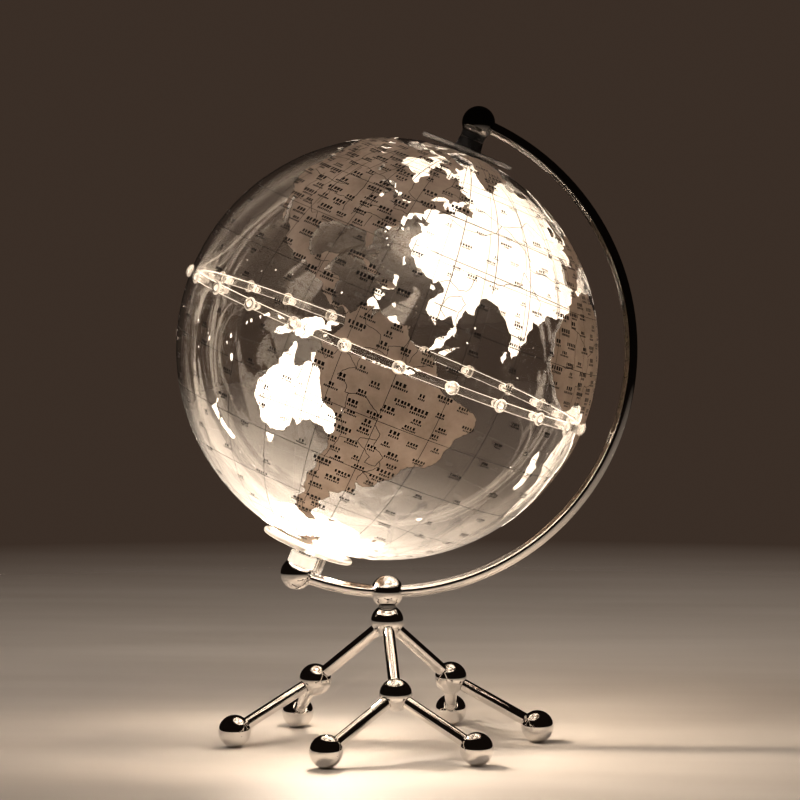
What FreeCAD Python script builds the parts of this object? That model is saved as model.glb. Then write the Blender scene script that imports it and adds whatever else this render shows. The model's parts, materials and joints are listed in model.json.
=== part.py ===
import FreeCAD, Part
import math
import os

# Desktop globe with a clear shell, carried by a half-round arc on a stand of balls and rods.
# Millimetres, +Z up. The origin is on the table, straight below the swivel and the globe's centre.
# The arc lies in the XZ plane, with its bow on the +X side. The front is -Y.

V = FreeCAD.Vector
ORIGIN = V(0, 0, 0)
UP = V(0, 0, 1)
ALONG_X = V(1, 0, 0)
ALONG_Y = V(0, 1, 0)

# Globe
globe_radius = 100.0
shell_thickness = 2.0
axis_tilt = 22.0              # from upright, leaning towards +X at the top
prime_meridian_turn = -22.0   # longitude zero, measured round the globe's axis from the +X side

# Balls and rods
ball_radius = 7.8
rod_radius = 3.0
spigot_radius = 1.5           # threaded ends of the struts
seat_distance = 7.0           # from a ball's centre to the flat that a rod's shoulder meets
seat_radius = 3.5
spigot_tip_distance = 4.3     # from a ball's centre to the end of a strut's spigot
shoulder_chamfer = 0.25

# Stand
strut_span = 48.5             # from ball centre to ball centre, the same for every strut
upper_strut_drop = 30.2
lower_strut_drop = 21.8
lower_strut_splay = 53.0      # each lower strut, in plan, from the line through its knee
stand_turn = 10.3             # the stand's turn under the arc
foot_flat_radius = 1.2
leg_azimuths = {"front": -90.0, "right": 30.0, "left": 150.0}

# Swivel between the stand and the arc
swivel_spacing = 14.0         # from the hub ball's centre to the arc ball's centre
washer_thickness = 1.2
washer_radius = 4.15
washer_bore_radius = 1.7
swivel_gap = 0.05             # between faces that turn on each other
screw_radius = 1.5
screw_length = 16.0
screw_head_radius = 2.75
screw_head_height = 2.6
screw_hex_radius = 1.45
screw_hex_depth = 1.4
screw_bore_radius = 1.6
head_pocket_radius = 3.05
head_pocket_top = -4.7        # from the hub ball's centre
spring_washer_thickness = 0.4
spring_washer_radius = 2.7

# Arc
arc_radius = 115.5
tube_bore_radius = 1.7
tube_spigot_radius = 2.4
tube_spigot_tip = 3.6         # from a ball's centre to the end of a tube's spigot
tube_seat_depth = 3.0         # cut outward from the seat, to clear the ball
lead_hole_radius = 1.6        # in the tube wall, under the sleeve

# Pole fittings, with distances counted from a pole ball's centre towards the globe's centre
pivot_radius = 2.0
pivot_start = 2.5
pivot_end = 21.5
pivot_clearance = 0.06
disc_radius = 22.5
disc_outer_face = 13.3
disc_rim_round = 0.95
pin_chamfer = 0.4
trim_radius = 6.15
trim_start = 4.9
collar_start = 5.4
collar_end = 8.4
collar_top_radius = 5.75
collar_foot_radius = 5.6
boss_start = 8.7
boss_end = 20.6
boss_foot_radius = 6.9
boss_nose_radius = 4.0
nut_start = 17.85
nut_end = 20.0
nut_corner_radius = 7.4
lower_collar_start = 4.0
lower_collar_end = 9.9
lower_collar_radius = 6.55
spacer_neck_radius = 4.8
spacer_ring_radius = 5.8
spacer_ring_start = 10.25
spacer_ring_end = 11.75

# Lamp
lamp_radius = 11.0
lamp_clearance = 0.08
lamp_floor_thickness = 2.0
lamp_ledge_radius = 9.9
lamp_wall_radius = 10.4
board_start = 19.0
board_thickness = 1.0
board_radius = 10.3
board_clearance = 0.15
lamp_rim = 20.9
emitter_radius = 4.0
emitter_height = 0.8
diffuser_height = 6.6
diffuser_wall = 1.0
bush_radius = 13.0
bush_flange_radius = 15.5
bush_gap = 0.1                # the rest of the bush is counted from the globe's pole too
bush_flange = 0.7
bush_length = 4.0

# Lamp lead
lead_radius = 0.7
lead_offset = 8.8             # from the globe's axis, on the arc's side
lead_bend = 3.5               # where it turns into the arc tube
lead_exit_bend = 3.0          # inside the arc ball
lead_gland_radius = 1.0
sleeve_radius = 2.0
sleeve_bore_radius = 1.3
inlet_radius = 2.4
inlet_back = 3.4              # from the arc ball's centre
inlet_front = 7.55
inlet_socket_radius = 1.2
inlet_socket_depth = 3.4
inlet_pin_radius = 0.35
inlet_pin_recess = 0.5

# Equator joint
hoop_inner_radius = 94.5
hoop_outer_radius = 97.95
hoop_half_height = 1.8
rivet_count = 24
rivet_shank_radius = 1.15
rivet_hole_radius = 1.2
rivet_head_radius = 3.2
rivet_head_height = 2.1
rivet_tail_radius = 1.9
rivet_tail_length = 1.2
rivet_tail_clearance = 0.05
rivet_end_radius = 91.8       # the shank's inner end, from the globe's axis

# Heights that follow from the sizes above
foot_z = math.sqrt(ball_radius**2 - foot_flat_radius**2)
knee_z = foot_z + lower_strut_drop
hub_z = knee_z + upper_strut_drop
arc_ball_z = hub_z + swivel_spacing
globe_z = arc_ball_z + arc_radius
pole_angle = 180.0
arc_ball_angle = 180.0 - axis_tilt
globe_pole = arc_radius - globe_radius   # a pole of the globe, from its pole ball's centre
inner_radius = globe_radius - shell_thickness

parts = {}


def cylinder(start, end, radius):
    along = end - start
    return Part.makeCylinder(radius, along.Length, start, along)


def revolved(outline):
    """Turn a closed outline of (radius, height) points about the Z axis."""
    points = [V(radius, 0, height) for radius, height in outline]
    face = Part.Face(Part.makePolygon(points + points[:1]))
    return face.revolve(ORIGIN, UP, 360)


def polar(azimuth, radius, height):
    turn = math.radians(azimuth)
    return V(radius * math.cos(turn), radius * math.sin(turn), height)


def hexagon(corner_radius, base_z, height):
    corners = [polar(60 * k, corner_radius, base_z) for k in range(6)]
    return Part.Face(Part.makePolygon(corners + corners[:1])).extrude(V(0, 0, height))


def tilted(shape):
    """Carry a shape from the globe's own frame, centred and with its axis on Z, to its place."""
    placed = shape.copy()
    placed.rotate(ORIGIN, ALONG_Y, axis_tilt)
    placed.translate(V(0, 0, globe_z))
    return placed


# Stand

def strut(start, end):
    """A rod between two balls, with a threaded spigot at each end."""
    way = (end - start).normalize()
    shaft = cylinder(start + way * seat_distance, end - way * seat_distance, rod_radius)
    rims = [edge for edge in shaft.Edges if edge.isClosed()]
    shaft = shaft.makeChamfer(shoulder_chamfer, rims)
    tip = way * spigot_tip_distance
    spigots = cylinder(start + tip, end - tip, spigot_radius)
    return shaft.fuse(spigots).removeSplitter()


def socket(centre, way):
    """What is cut from a ball for one strut: the spotface and the threaded hole."""
    outside = centre + way * (ball_radius + 1)
    spotface = cylinder(centre + way * seat_distance, outside, seat_radius)
    hole = cylinder(centre + way * spigot_tip_distance, outside, spigot_radius)
    return spotface.fuse(hole)


def seam_axis(centre, neighbours):
    """An axis for a ball's surface whose poles and seam lie clear of every socket."""
    ways = [(neighbour - centre).normalize() for neighbour in neighbours]
    if len(ways) == 1:
        level = UP.cross(ways[0]).normalize()
        return (level + UP * 0.2).normalize()
    return (ways[0] + ways[1] + ways[-1]).normalize()


def ball(centre, neighbours):
    """A ball with a socket facing each neighbouring ball's centre."""
    shape = Part.makeSphere(ball_radius, centre, seam_axis(centre, neighbours))
    return shape.cut([socket(centre, (neighbour - centre).normalize()) for neighbour in neighbours])


knee_radius = math.sqrt(strut_span**2 - upper_strut_drop**2)
lower_strut_plan = math.sqrt(strut_span**2 - lower_strut_drop**2)
hub_centre = V(0, 0, hub_z)
knee_centres = {
    side: polar(azimuth + stand_turn, knee_radius, knee_z)
    for side, azimuth in leg_azimuths.items()
}


def foot_centre(side, splay):
    azimuth = leg_azimuths[side] + stand_turn + splay
    return knee_centres[side] + polar(azimuth, lower_strut_plan, foot_z - knee_z)


for side, knee in knee_centres.items():
    feet = {"a": foot_centre(side, -lower_strut_splay), "b": foot_centre(side, lower_strut_splay)}
    parts[f"upper_strut_{side}"] = strut(hub_centre, knee)
    parts[f"knee_ball_{side}"] = ball(knee, [hub_centre] + list(feet.values()))
    for letter, foot in feet.items():
        parts[f"lower_strut_{side}_{letter}"] = strut(knee, foot)
        corner = V(foot.x - ball_radius, foot.y - ball_radius, -ball_radius)
        below_table = Part.makeBox(2 * ball_radius, 2 * ball_radius, ball_radius, corner)
        parts[f"foot_ball_{side}_{letter}"] = ball(foot, [knee]).cut(below_table)


# Swivel

def above(centre, height):
    return V(centre.x, centre.y, centre.z + height)


arc_ball_centre = V(0, 0, arc_ball_z)
swivel_middle = hub_z + swivel_spacing / 2
washer_base = V(0, 0, swivel_middle - washer_thickness / 2)
washer_top = above(washer_base, washer_thickness)

hub = ball(hub_centre, knee_centres.values())
pocket_top = above(hub_centre, head_pocket_top)
hub = hub.cut(cylinder(washer_base, above(washer_base, ball_radius), ball_radius))
hub = hub.cut(cylinder(above(pocket_top, -1), washer_top, screw_bore_radius))
hub = hub.cut(cylinder(above(hub_centre, -ball_radius - 1), pocket_top, head_pocket_radius))
parts["hub_ball"] = hub

washer = cylinder(washer_base, washer_top, washer_radius)
parts["swivel_washer"] = washer.cut(cylinder(washer_base, washer_top, washer_bore_radius))

spring_base = above(pocket_top, -spring_washer_thickness)
spring = cylinder(spring_base, pocket_top, spring_washer_radius)
parts["swivel_spring_washer"] = spring.cut(cylinder(spring_base, pocket_top, washer_bore_radius))

head_top = above(spring_base, -swivel_gap)
head_base = above(head_top, -screw_head_height)
screw = cylinder(head_base, head_top, screw_head_radius)
screw = screw.fuse(cylinder(head_top, above(head_top, screw_length), screw_radius))
parts["swivel_screw"] = screw.cut(hexagon(screw_hex_radius, head_base.z, screw_hex_depth))


# Arc, in the globe's own frame, with angles counted from the upper pole round the +X side

def on_arc(angle, radius=arc_radius):
    turn = math.radians(angle)
    return V(radius * math.sin(turn), 0, radius * math.cos(turn))


def arc_bar(radius, first_angle, last_angle):
    turn = math.radians(first_angle)
    tangent = V(math.cos(turn), 0, -math.sin(turn))
    circle = Part.Wire(Part.makeCircle(radius, on_arc(first_angle), tangent))
    return Part.Face(circle).revolve(ORIGIN, ALONG_Y, last_angle - first_angle)


def angle_along(length):
    return math.degrees(length / arc_radius)


seat_angle = angle_along(seat_distance)
tube_tip_angle = angle_along(tube_spigot_tip)


def arc_tube(first_ball, last_ball):
    shaft = arc_bar(rod_radius, first_ball + seat_angle, last_ball - seat_angle)
    spigots = arc_bar(tube_spigot_radius, first_ball + tube_tip_angle, last_ball - tube_tip_angle)
    return shaft.fuse(spigots)


def tube_seat(ball_angle, side):
    """The spotface of a tube's shoulder on its ball; side is +1 after the ball, -1 before it."""
    seat = on_arc(ball_angle + side * seat_angle)
    turn = math.radians(ball_angle + side * seat_angle)
    tangent = V(math.cos(turn), 0, -math.sin(turn))
    return cylinder(seat, seat + tangent * (side * tube_seat_depth), seat_radius)


long_tube_solid = arc_tube(0, arc_ball_angle)
short_tube_solid = arc_tube(arc_ball_angle, pole_angle)
lead_hole_bottom = V(lead_offset, 0, -arc_radius)
lead_hole = cylinder(lead_hole_bottom, above(lead_hole_bottom, ball_radius), lead_hole_radius)
tube_bore = arc_bar(tube_bore_radius, 0, pole_angle)
parts["arc_tube_long"] = tilted(long_tube_solid.cut(tube_bore))
parts["arc_tube_short"] = tilted(short_tube_solid.cut(tube_bore).cut(lead_hole))


# Pole fittings

def pole_outline(outline, pole):
    """Turn points of (radius, distance from the pole ball's centre); pole is +1 or -1."""
    return revolved([(radius, pole * (arc_radius - distance)) for radius, distance in outline])


def pole_rod(radius, start, end, pole):
    first = V(0, 0, pole * (arc_radius - start))
    last = V(0, 0, pole * (arc_radius - end))
    return cylinder(first, last, radius)


def ring(inner, outer, start, end, pole):
    return pole_outline([(inner, start), (outer, start), (outer, end), (inner, end)], pole)


def pivot_hole(pole):
    return pole_rod(pivot_radius, pivot_start, ball_radius + 1, pole)


upper_ball = Part.makeSphere(ball_radius, on_arc(0))
lower_ball = Part.makeSphere(ball_radius, on_arc(pole_angle))
upper_cuts = [long_tube_solid, tube_seat(0, 1), pivot_hole(1)]
lower_cuts = [short_tube_solid, tube_seat(pole_angle, -1), pivot_hole(-1)]
parts["pole_ball_upper"] = tilted(upper_ball.cut(upper_cuts))
parts["pole_ball_lower"] = tilted(lower_ball.cut(lower_cuts))

pin = pole_rod(pivot_radius, pivot_start, pivot_end, 1)
pin_ends = [edge for edge in pin.Edges if edge.isClosed()]
parts["upper_pivot_pin"] = tilted(pin.makeChamfer(pin_chamfer, pin_ends))

trim = ring(pivot_radius, trim_radius, trim_start, collar_start, 1)
parts["upper_collar_ring"] = tilted(trim.cut(upper_ball))
collar_outline = [
    (pivot_radius, collar_start),
    (collar_top_radius, collar_start),
    (collar_foot_radius, collar_end),
    (pivot_radius, collar_end),
]
parts["upper_collar"] = tilted(pole_outline(collar_outline, 1).cut(upper_ball))

boss_bore = pivot_radius + pivot_clearance
boss_outline = [
    (boss_bore, boss_start),
    (5.8, boss_start),
    (5.95, 10.2),
    (6.25, 12.6),
    (boss_foot_radius, disc_outer_face),
    (boss_nose_radius, disc_outer_face),
    (boss_nose_radius, boss_end),
    (boss_bore, boss_end),
]
parts["upper_boss"] = tilted(pole_outline(boss_outline, 1))

nut = hexagon(nut_corner_radius, arc_radius - nut_end, nut_end - nut_start)
parts["upper_nut"] = tilted(nut.cut(pole_rod(boss_nose_radius, nut_start, nut_end, 1)))


def pole_disc(bore_radius, pole):
    """A flat clear disc with a rounded rim, lying against the globe's pole."""
    disc = ring(bore_radius, disc_radius, disc_outer_face, globe_pole, pole)
    circles = [edge for edge in disc.Edges if edge.isClosed()]
    rim = [edge for edge in circles if edge.BoundBox.XLength > 1.9 * disc_radius]
    return disc.makeFillet(disc_rim_round, rim)


parts["upper_disc"] = tilted(pole_disc(boss_nose_radius, 1))
lead_gland = cylinder(lead_hole_bottom, above(lead_hole_bottom, lamp_rim), lead_gland_radius)
parts["lower_disc"] = tilted(pole_disc(pivot_radius, -1).cut(lead_gland))

parts["lower_stud"] = tilted(pole_rod(pivot_radius, pivot_start, globe_pole + lamp_floor_thickness, -1))
lower_collar_outline = [
    (pivot_radius, lower_collar_start),
    (6.3, lower_collar_start),
    (lower_collar_radius, 4.6),
    (lower_collar_radius, 9.6),
    (6.3, lower_collar_end),
    (pivot_radius, lower_collar_end),
]
parts["lower_collar"] = tilted(pole_outline(lower_collar_outline, -1).cut(lower_ball))
spacer_outline = [
    (pivot_radius, lower_collar_end),
    (spacer_neck_radius, lower_collar_end),
    (spacer_neck_radius, spacer_ring_start),
    (spacer_ring_radius, spacer_ring_start),
    (spacer_ring_radius, spacer_ring_end),
    (spacer_neck_radius, spacer_ring_end),
    (spacer_neck_radius, disc_outer_face),
    (pivot_radius, disc_outer_face),
]
parts["lower_spacer"] = tilted(pole_outline(spacer_outline, -1))


# Lamp

lamp_floor = globe_pole + lamp_floor_thickness
lamp_base_outline = [
    (pivot_radius, globe_pole),
    (lamp_radius, globe_pole),
    (lamp_radius, lamp_rim),
    (lamp_wall_radius, lamp_rim),
    (lamp_wall_radius, board_start),
    (lamp_ledge_radius, board_start),
    (lamp_ledge_radius, lamp_floor),
    (pivot_radius, lamp_floor),
]
parts["lamp_base"] = tilted(pole_outline(lamp_base_outline, -1).cut(lead_gland))
board_top = board_start + board_thickness
parts["led_board"] = tilted(pole_rod(board_radius, board_start, board_top, -1))
parts["led_emitter"] = tilted(pole_rod(emitter_radius, board_top, board_top + emitter_height, -1))

diffuser_radius = (lamp_radius**2 + diffuser_height**2) / (2 * diffuser_height)
dome_centre = lamp_rim + diffuser_height - diffuser_radius
dome_point = V(0, 0, -(arc_radius - dome_centre))
dome = Part.makeSphere(diffuser_radius, dome_point)
dome = dome.cut(Part.makeSphere(diffuser_radius - diffuser_wall, dome_point))
dome = dome.common(ring(0, lamp_radius + 1, lamp_rim, lamp_rim + diffuser_height + 1, -1))
lip_inner = lamp_wall_radius - diffuser_wall
lip = ring(lip_inner, lamp_wall_radius, board_top + board_clearance, lamp_rim, -1)
parts["lamp_diffuser"] = tilted(dome.fuse(lip).removeSplitter())

bush_bore = lamp_radius + lamp_clearance
bush_outline = [
    (bush_bore, globe_pole + bush_gap),
    (bush_flange_radius, globe_pole + bush_gap),
    (bush_flange_radius, globe_pole + bush_flange),
    (bush_radius, globe_pole + bush_flange),
    (bush_radius, globe_pole + bush_length),
    (bush_bore, globe_pole + bush_length),
]
parts["lower_bush"] = tilted(pole_outline(bush_outline, -1))

sleeve_top = V(lead_offset, 0, -(arc_radius - disc_outer_face))
sleeve = cylinder(lead_hole_bottom, sleeve_top, sleeve_radius)
sleeve = sleeve.cut(cylinder(lead_hole_bottom, sleeve_top, sleeve_bore_radius))
parts["lead_sleeve"] = tilted(sleeve.cut(short_tube_solid).cut(lower_ball))


# Arc ball, power inlet and the lead that joins it to the lamp

lead_turn_x = lead_offset + lead_bend
lead_turn_z = -math.sqrt((arc_radius - lead_bend) ** 2 - lead_turn_x**2)
lead_turn_centre = V(lead_turn_x, 0, lead_turn_z)
lead_top = V(lead_offset, 0, -(arc_radius - board_start))
lead_turn_start = V(lead_offset, 0, lead_turn_z)
lead_joins_arc = pole_angle - math.degrees(math.asin(lead_turn_x / (arc_radius - lead_bend)))
join_point = on_arc(lead_joins_arc)
from_start = (lead_turn_centre - lead_turn_start).normalize()
from_join = (lead_turn_centre - join_point).normalize()
lead_turn_middle = lead_turn_centre - (from_start + from_join).normalize() * lead_bend
lead_leaves_arc = arc_ball_angle + angle_along(lead_exit_bend)
leave_point = on_arc(lead_leaves_arc)
lead_arc_middle = on_arc((lead_joins_arc + lead_leaves_arc) / 2)
leave_turn = math.radians(lead_leaves_arc)
leave_way = V(-math.cos(leave_turn), 0, math.sin(leave_turn))
exit_centre = leave_point + ALONG_Y * lead_exit_bend
exit_middle = exit_centre + (leave_way - ALONG_Y).normalize() * lead_exit_bend
exit_point = exit_centre + leave_way * lead_exit_bend
lead_end = V(exit_point.x, inlet_back, exit_point.z)
lead_path = Part.Wire([
    Part.LineSegment(lead_top, lead_turn_start).toShape(),
    Part.Arc(lead_turn_start, lead_turn_middle, join_point).toShape(),
    Part.Arc(join_point, lead_arc_middle, leave_point).toShape(),
    Part.Arc(leave_point, exit_middle, exit_point).toShape(),
    Part.LineSegment(exit_point, lead_end).toShape(),
])
lead_section = Part.Wire(Part.makeCircle(lead_radius, lead_top, UP))
lead = lead_path.makePipeShell([lead_section], True, False)
parts["lamp_lead"] = tilted(lead)
print(f"lead: {lead_path.Length:.1f} mm long")

arc_ball = Part.makeSphere(ball_radius, arc_ball_centre)
arc_ball_seats = [tube_seat(arc_ball_angle, -1), tube_seat(arc_ball_angle, 1)]
for tube_part in [long_tube_solid, short_tube_solid] + arc_ball_seats:
    arc_ball = arc_ball.cut(tilted(tube_part))
arc_ball_flat = above(washer_top, swivel_gap)
arc_ball = arc_ball.cut(cylinder(above(arc_ball_flat, -ball_radius), arc_ball_flat, ball_radius))
arc_ball = arc_ball.cut(cylinder(head_top, above(head_top, screw_length), screw_radius))
lead_way_in = arc_ball_centre - ALONG_X * ball_radius
arc_ball = arc_ball.cut(cylinder(lead_way_in, arc_ball_centre, tube_bore_radius))


def behind_arc_ball(radius, start, end):
    """A rod along +Y, with its ends counted from the arc ball's centre."""
    return cylinder(arc_ball_centre + ALONG_Y * start, arc_ball_centre + ALONG_Y * end, radius)


parts["arc_ball"] = arc_ball.cut(behind_arc_ball(inlet_radius, 0, ball_radius + 1))

inlet_floor = inlet_front - inlet_socket_depth
inlet = behind_arc_ball(inlet_radius, inlet_back, inlet_front)
parts["power_inlet"] = inlet.cut(behind_arc_ball(inlet_socket_radius, inlet_floor, ball_radius + 1))
parts["power_inlet_pin"] = behind_arc_ball(inlet_pin_radius, inlet_floor, inlet_front - inlet_pin_recess)


# Globe shells and the equator joint

def at_rivets(shape):
    """Copies of a shape that lies along local +X, one at each rivet's place round the equator."""
    copies = []
    for k in range(rivet_count):
        copy = shape.copy()
        copy.rotate(ORIGIN, UP, prime_meridian_turn + k * 360 / rivet_count)
        copies.append(copy)
    return copies


def radial_rod(radius, start, end):
    return cylinder(ALONG_X * start, ALONG_X * end, radius)


head_sphere_radius = (rivet_head_radius**2 + rivet_head_height**2) / (2 * rivet_head_height)
head_sphere_centre = ALONG_X * (globe_radius + rivet_head_height - head_sphere_radius)
head_box = 4 * rivet_head_radius
head_corner = V(globe_radius, -head_box / 2, -head_box / 2)
outside_shell = Part.makeBox(head_box, head_box, head_box, head_corner)
rivet = Part.makeSphere(head_sphere_radius, head_sphere_centre, ALONG_X).common(outside_shell)
rivet = rivet.fuse(radial_rod(rivet_shank_radius, rivet_end_radius, globe_radius + 0.5))
tail_start = hoop_inner_radius - rivet_tail_clearance
rivet = rivet.fuse(radial_rod(rivet_tail_radius, tail_start - rivet_tail_length, tail_start))
parts["equator_rivets"] = tilted(Part.makeCompound(at_rivets(rivet.removeSplitter())))

rivet_hole = radial_rod(rivet_hole_radius, hoop_inner_radius - 1, globe_radius + 2)
rivet_holes = Part.makeCompound(at_rivets(rivet_hole))
hoop_outline = [
    (hoop_inner_radius, -hoop_half_height),
    (hoop_outer_radius, -hoop_half_height),
    (hoop_outer_radius, hoop_half_height),
    (hoop_inner_radius, hoop_half_height),
]
parts["equator_hoop"] = tilted(revolved(hoop_outline).cut(rivet_holes))


def half_shell(pole, hole_radius):
    shell = Part.makeSphere(globe_radius).cut(Part.makeSphere(inner_radius))
    size = globe_radius + 10
    base_z = -size if pole > 0 else 0
    other_half = Part.makeBox(2 * size, 2 * size, size, V(-size, -size, base_z))
    hole = cylinder(ORIGIN, V(0, 0, pole * size), hole_radius)
    return shell.cut(other_half).cut(hole).cut(rivet_holes)


parts["upper_shell"] = tilted(half_shell(1, boss_nose_radius))
parts["lower_shell"] = tilted(half_shell(-1, bush_radius))


os.makedirs("parts", exist_ok=True)
for name, shape in parts.items():
    solids = shape.Solids
    kept = solids[0] if len(solids) == 1 else Part.makeCompound(solids)
    if not kept.isValid() or kept.Volume <= 0:
        raise ValueError(f"{name} is not a valid solid")
    kept.exportStep(f"parts/{name}.step")
top_z = globe_z + arc_radius * math.cos(math.radians(axis_tilt)) + ball_radius
print(f"{len(parts)} parts, globe centre at {globe_z:.2f} mm, top at {top_z:.2f} mm")
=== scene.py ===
import json
import math
import random

import bmesh
import bpy
from mathutils import Matrix, Vector
from mathutils.bvhtree import BVHTree
from mathutils.geometry import delaunay_2d_cdt


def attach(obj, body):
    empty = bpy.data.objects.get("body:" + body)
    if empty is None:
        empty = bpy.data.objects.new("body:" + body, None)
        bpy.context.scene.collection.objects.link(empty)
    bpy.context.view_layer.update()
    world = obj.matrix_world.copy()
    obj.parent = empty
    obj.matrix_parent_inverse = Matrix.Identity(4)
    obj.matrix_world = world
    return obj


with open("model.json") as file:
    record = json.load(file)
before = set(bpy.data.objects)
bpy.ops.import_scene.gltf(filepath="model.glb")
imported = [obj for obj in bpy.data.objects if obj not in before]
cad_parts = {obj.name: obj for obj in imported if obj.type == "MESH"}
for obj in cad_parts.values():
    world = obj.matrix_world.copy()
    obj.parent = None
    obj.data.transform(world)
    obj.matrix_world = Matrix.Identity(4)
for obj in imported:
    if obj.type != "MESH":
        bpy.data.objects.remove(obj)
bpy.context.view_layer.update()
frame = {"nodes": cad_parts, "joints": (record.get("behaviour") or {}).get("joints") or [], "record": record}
scene = bpy.context.scene
nodes = frame["nodes"]

MM = 0.001
spin = next(j for j in frame["joints"] if j["name"] == "globe_spin")
AXIS = Vector(spin["axis"]).normalized()
CENTRE = Vector(spin["pos_m"])
GLOBE_R = 100 * MM
PRIME_MERIDIAN = -22.0          # where longitude 0 stands, in the globe's own frame, degrees

# The print: heights over the shell, line widths and label sizes in mm
BACKING_LIFT, FACE_LIFT = 0.06, 0.10
LINE_LIFT, LABEL_LIFT, INNER_LINE_LIFT = 0.14, 0.15, 0.025
COAST_LINE, BORDER_LINE, GRID_LINE = 0.12, 0.24, 0.22
INNER_BORDER_LINE, INNER_GRID_LINE = 0.4, 0.5          # wider, to show on lit land
LABEL_SIZES_ASHORE, LABEL_SIZE_AT_SEA, LABEL_SIZE_INSIDE = (0.95, 1.1, 1.3), 0.9, 0.8
ROOM_ASHORE, ROOM_AT_SEA = (2.2, 4.9), (4.4, 11.0)          # a label's room, north and east, degrees
LABEL_TRIES = 26000
LEFT_OUT_AT_SEA = 0.78          # share of the tries at sea
EQUATOR_GAP = 2.4 * MM          # half the clear band along the joint
EQUATOR_ROOM = 0.05          # no label starts nearer the joint, in globe radii
LAND_MESH = 0.028          # spacing of the land meshes' inner points, in globe radii
LAMP_HOLE_LATITUDE = -79.6          # Antarctica's print ends round the hole for the lamp

# Places of the lamp's lights from the globe's centre, and the floor's radius, in metres
LAMP_DEPTH = 73 * MM
SPILL_DEPTH, SPILL_OFFSET = 106 * MM, 15 * MM
FLOOR_RADIUS = 1.1

ACROSS = Vector((0, 1, 0)).cross(AXIS)
TO_WORLD = Matrix((ACROSS, (0, 1, 0), AXIS)).transposed()


# Materials

class Nodes:
    """Short ways to write a node tree."""

    def __init__(self, name):
        self.material = bpy.data.materials.new(name)
        self.material.use_nodes = True
        self.tree = self.material.node_tree
        self.tree.nodes.clear()
        self.out = self.tree.nodes.new("ShaderNodeOutputMaterial")

    def add(self, kind, **sockets):
        node = self.tree.nodes.new("ShaderNode" + kind)
        for key, value in sockets.items():
            self.put(node, key, value)
        return node

    def put(self, node, key, value):
        if key.startswith("set_"):
            setattr(node, key[4:], value)
            return
        numbered = key[0] == "i" and key[1:].isdigit()
        socket = node.inputs[int(key[1:]) if numbered else key.replace("_", " ")]
        if isinstance(value, bpy.types.NodeSocket):
            self.tree.links.new(value, socket)
        elif socket.type == "RGBA" and len(value) == 3:
            socket.default_value = (*value, 1)
        else:
            socket.default_value = value

    def noise(self, scale, detail=3.0, roughness=0.5, distortion=0.0, stretch=None):
        where = self.add("TexCoord").outputs["Object"]
        if stretch:
            where = self.add("Mapping", Vector=where, Scale=stretch).outputs["Vector"]
        return self.add("TexNoise", Vector=where, Scale=scale, Detail=detail, Roughness=roughness,
                        Distortion=distortion).outputs["Fac"]

    def between(self, fac, low, high, start=0.0, end=1.0):
        node = self.add("MapRange", Value=fac)
        for key, value in (("From Min", start), ("From Max", end), ("To Min", low), ("To Max", high)):
            node.inputs[key].default_value = value
        return node.outputs["Result"]

    def colour(self, fac, low, high, start=0.3, end=0.7):
        ramp = self.add("ValToRGB", Fac=fac)
        first, last = ramp.color_ramp.elements
        first.position, last.position = start, end
        first.color, last.color = (*low, 1), (*high, 1)
        return ramp.outputs["Color"]

    def bump(self, height, strength, distance):
        return self.add("Bump", Height=height, Strength=strength, Distance=distance).outputs["Normal"]

    def shader(self, **sockets):
        node = self.add("BsdfPrincipled")
        for key, value in sockets.items():
            self.put(node, key, value)
        return node.outputs["BSDF"]

    def mix(self, fac, first, second):
        node = self.add("MixShader")
        self.put(node, "Fac", fac)
        self.tree.links.new(first, node.inputs[1])
        self.tree.links.new(second, node.inputs[2])
        return node.outputs["Shader"]

    def finish(self, shader):
        self.tree.links.new(shader, self.out.inputs["Surface"])
        return self.material


def metal(name, low, high, smooth, rough, scratch=0.0, painted_shade_heights=None):
    """A plated or turned metal with smudges, and turning marks where it isn't polished.
    Its last argument gives the heights between which painted shade darkens the colour, from bright below to
    dark above."""
    n = Nodes(name)
    smudge = n.noise(35, detail=5, roughness=0.6)
    tone = n.colour(smudge, low, high)
    if painted_shade_heights:
        z = n.add("SeparateXYZ", Vector=n.add("TexCoord").outputs["Object"]).outputs["Z"]
        # Painted shade: the colour darkens with height, standing in for the dark room that the upper arc
        # reflects.
        shade = n.between(z, 1.0, 0.35, *painted_shade_heights)
        tone = n.add("VectorMath", i0=tone, i3=shade, set_operation="SCALE").outputs["Vector"]
    fine = n.noise(900, detail=2, stretch=(1, 1, 0.12))
    return n.finish(n.shader(
        Base_Color=tone,
        Metallic=1.0,
        Roughness=n.between(smudge, smooth, rough, 0.35, 0.7),
        Normal=n.bump(fine, scratch, 0.00005),
    ))


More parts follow.
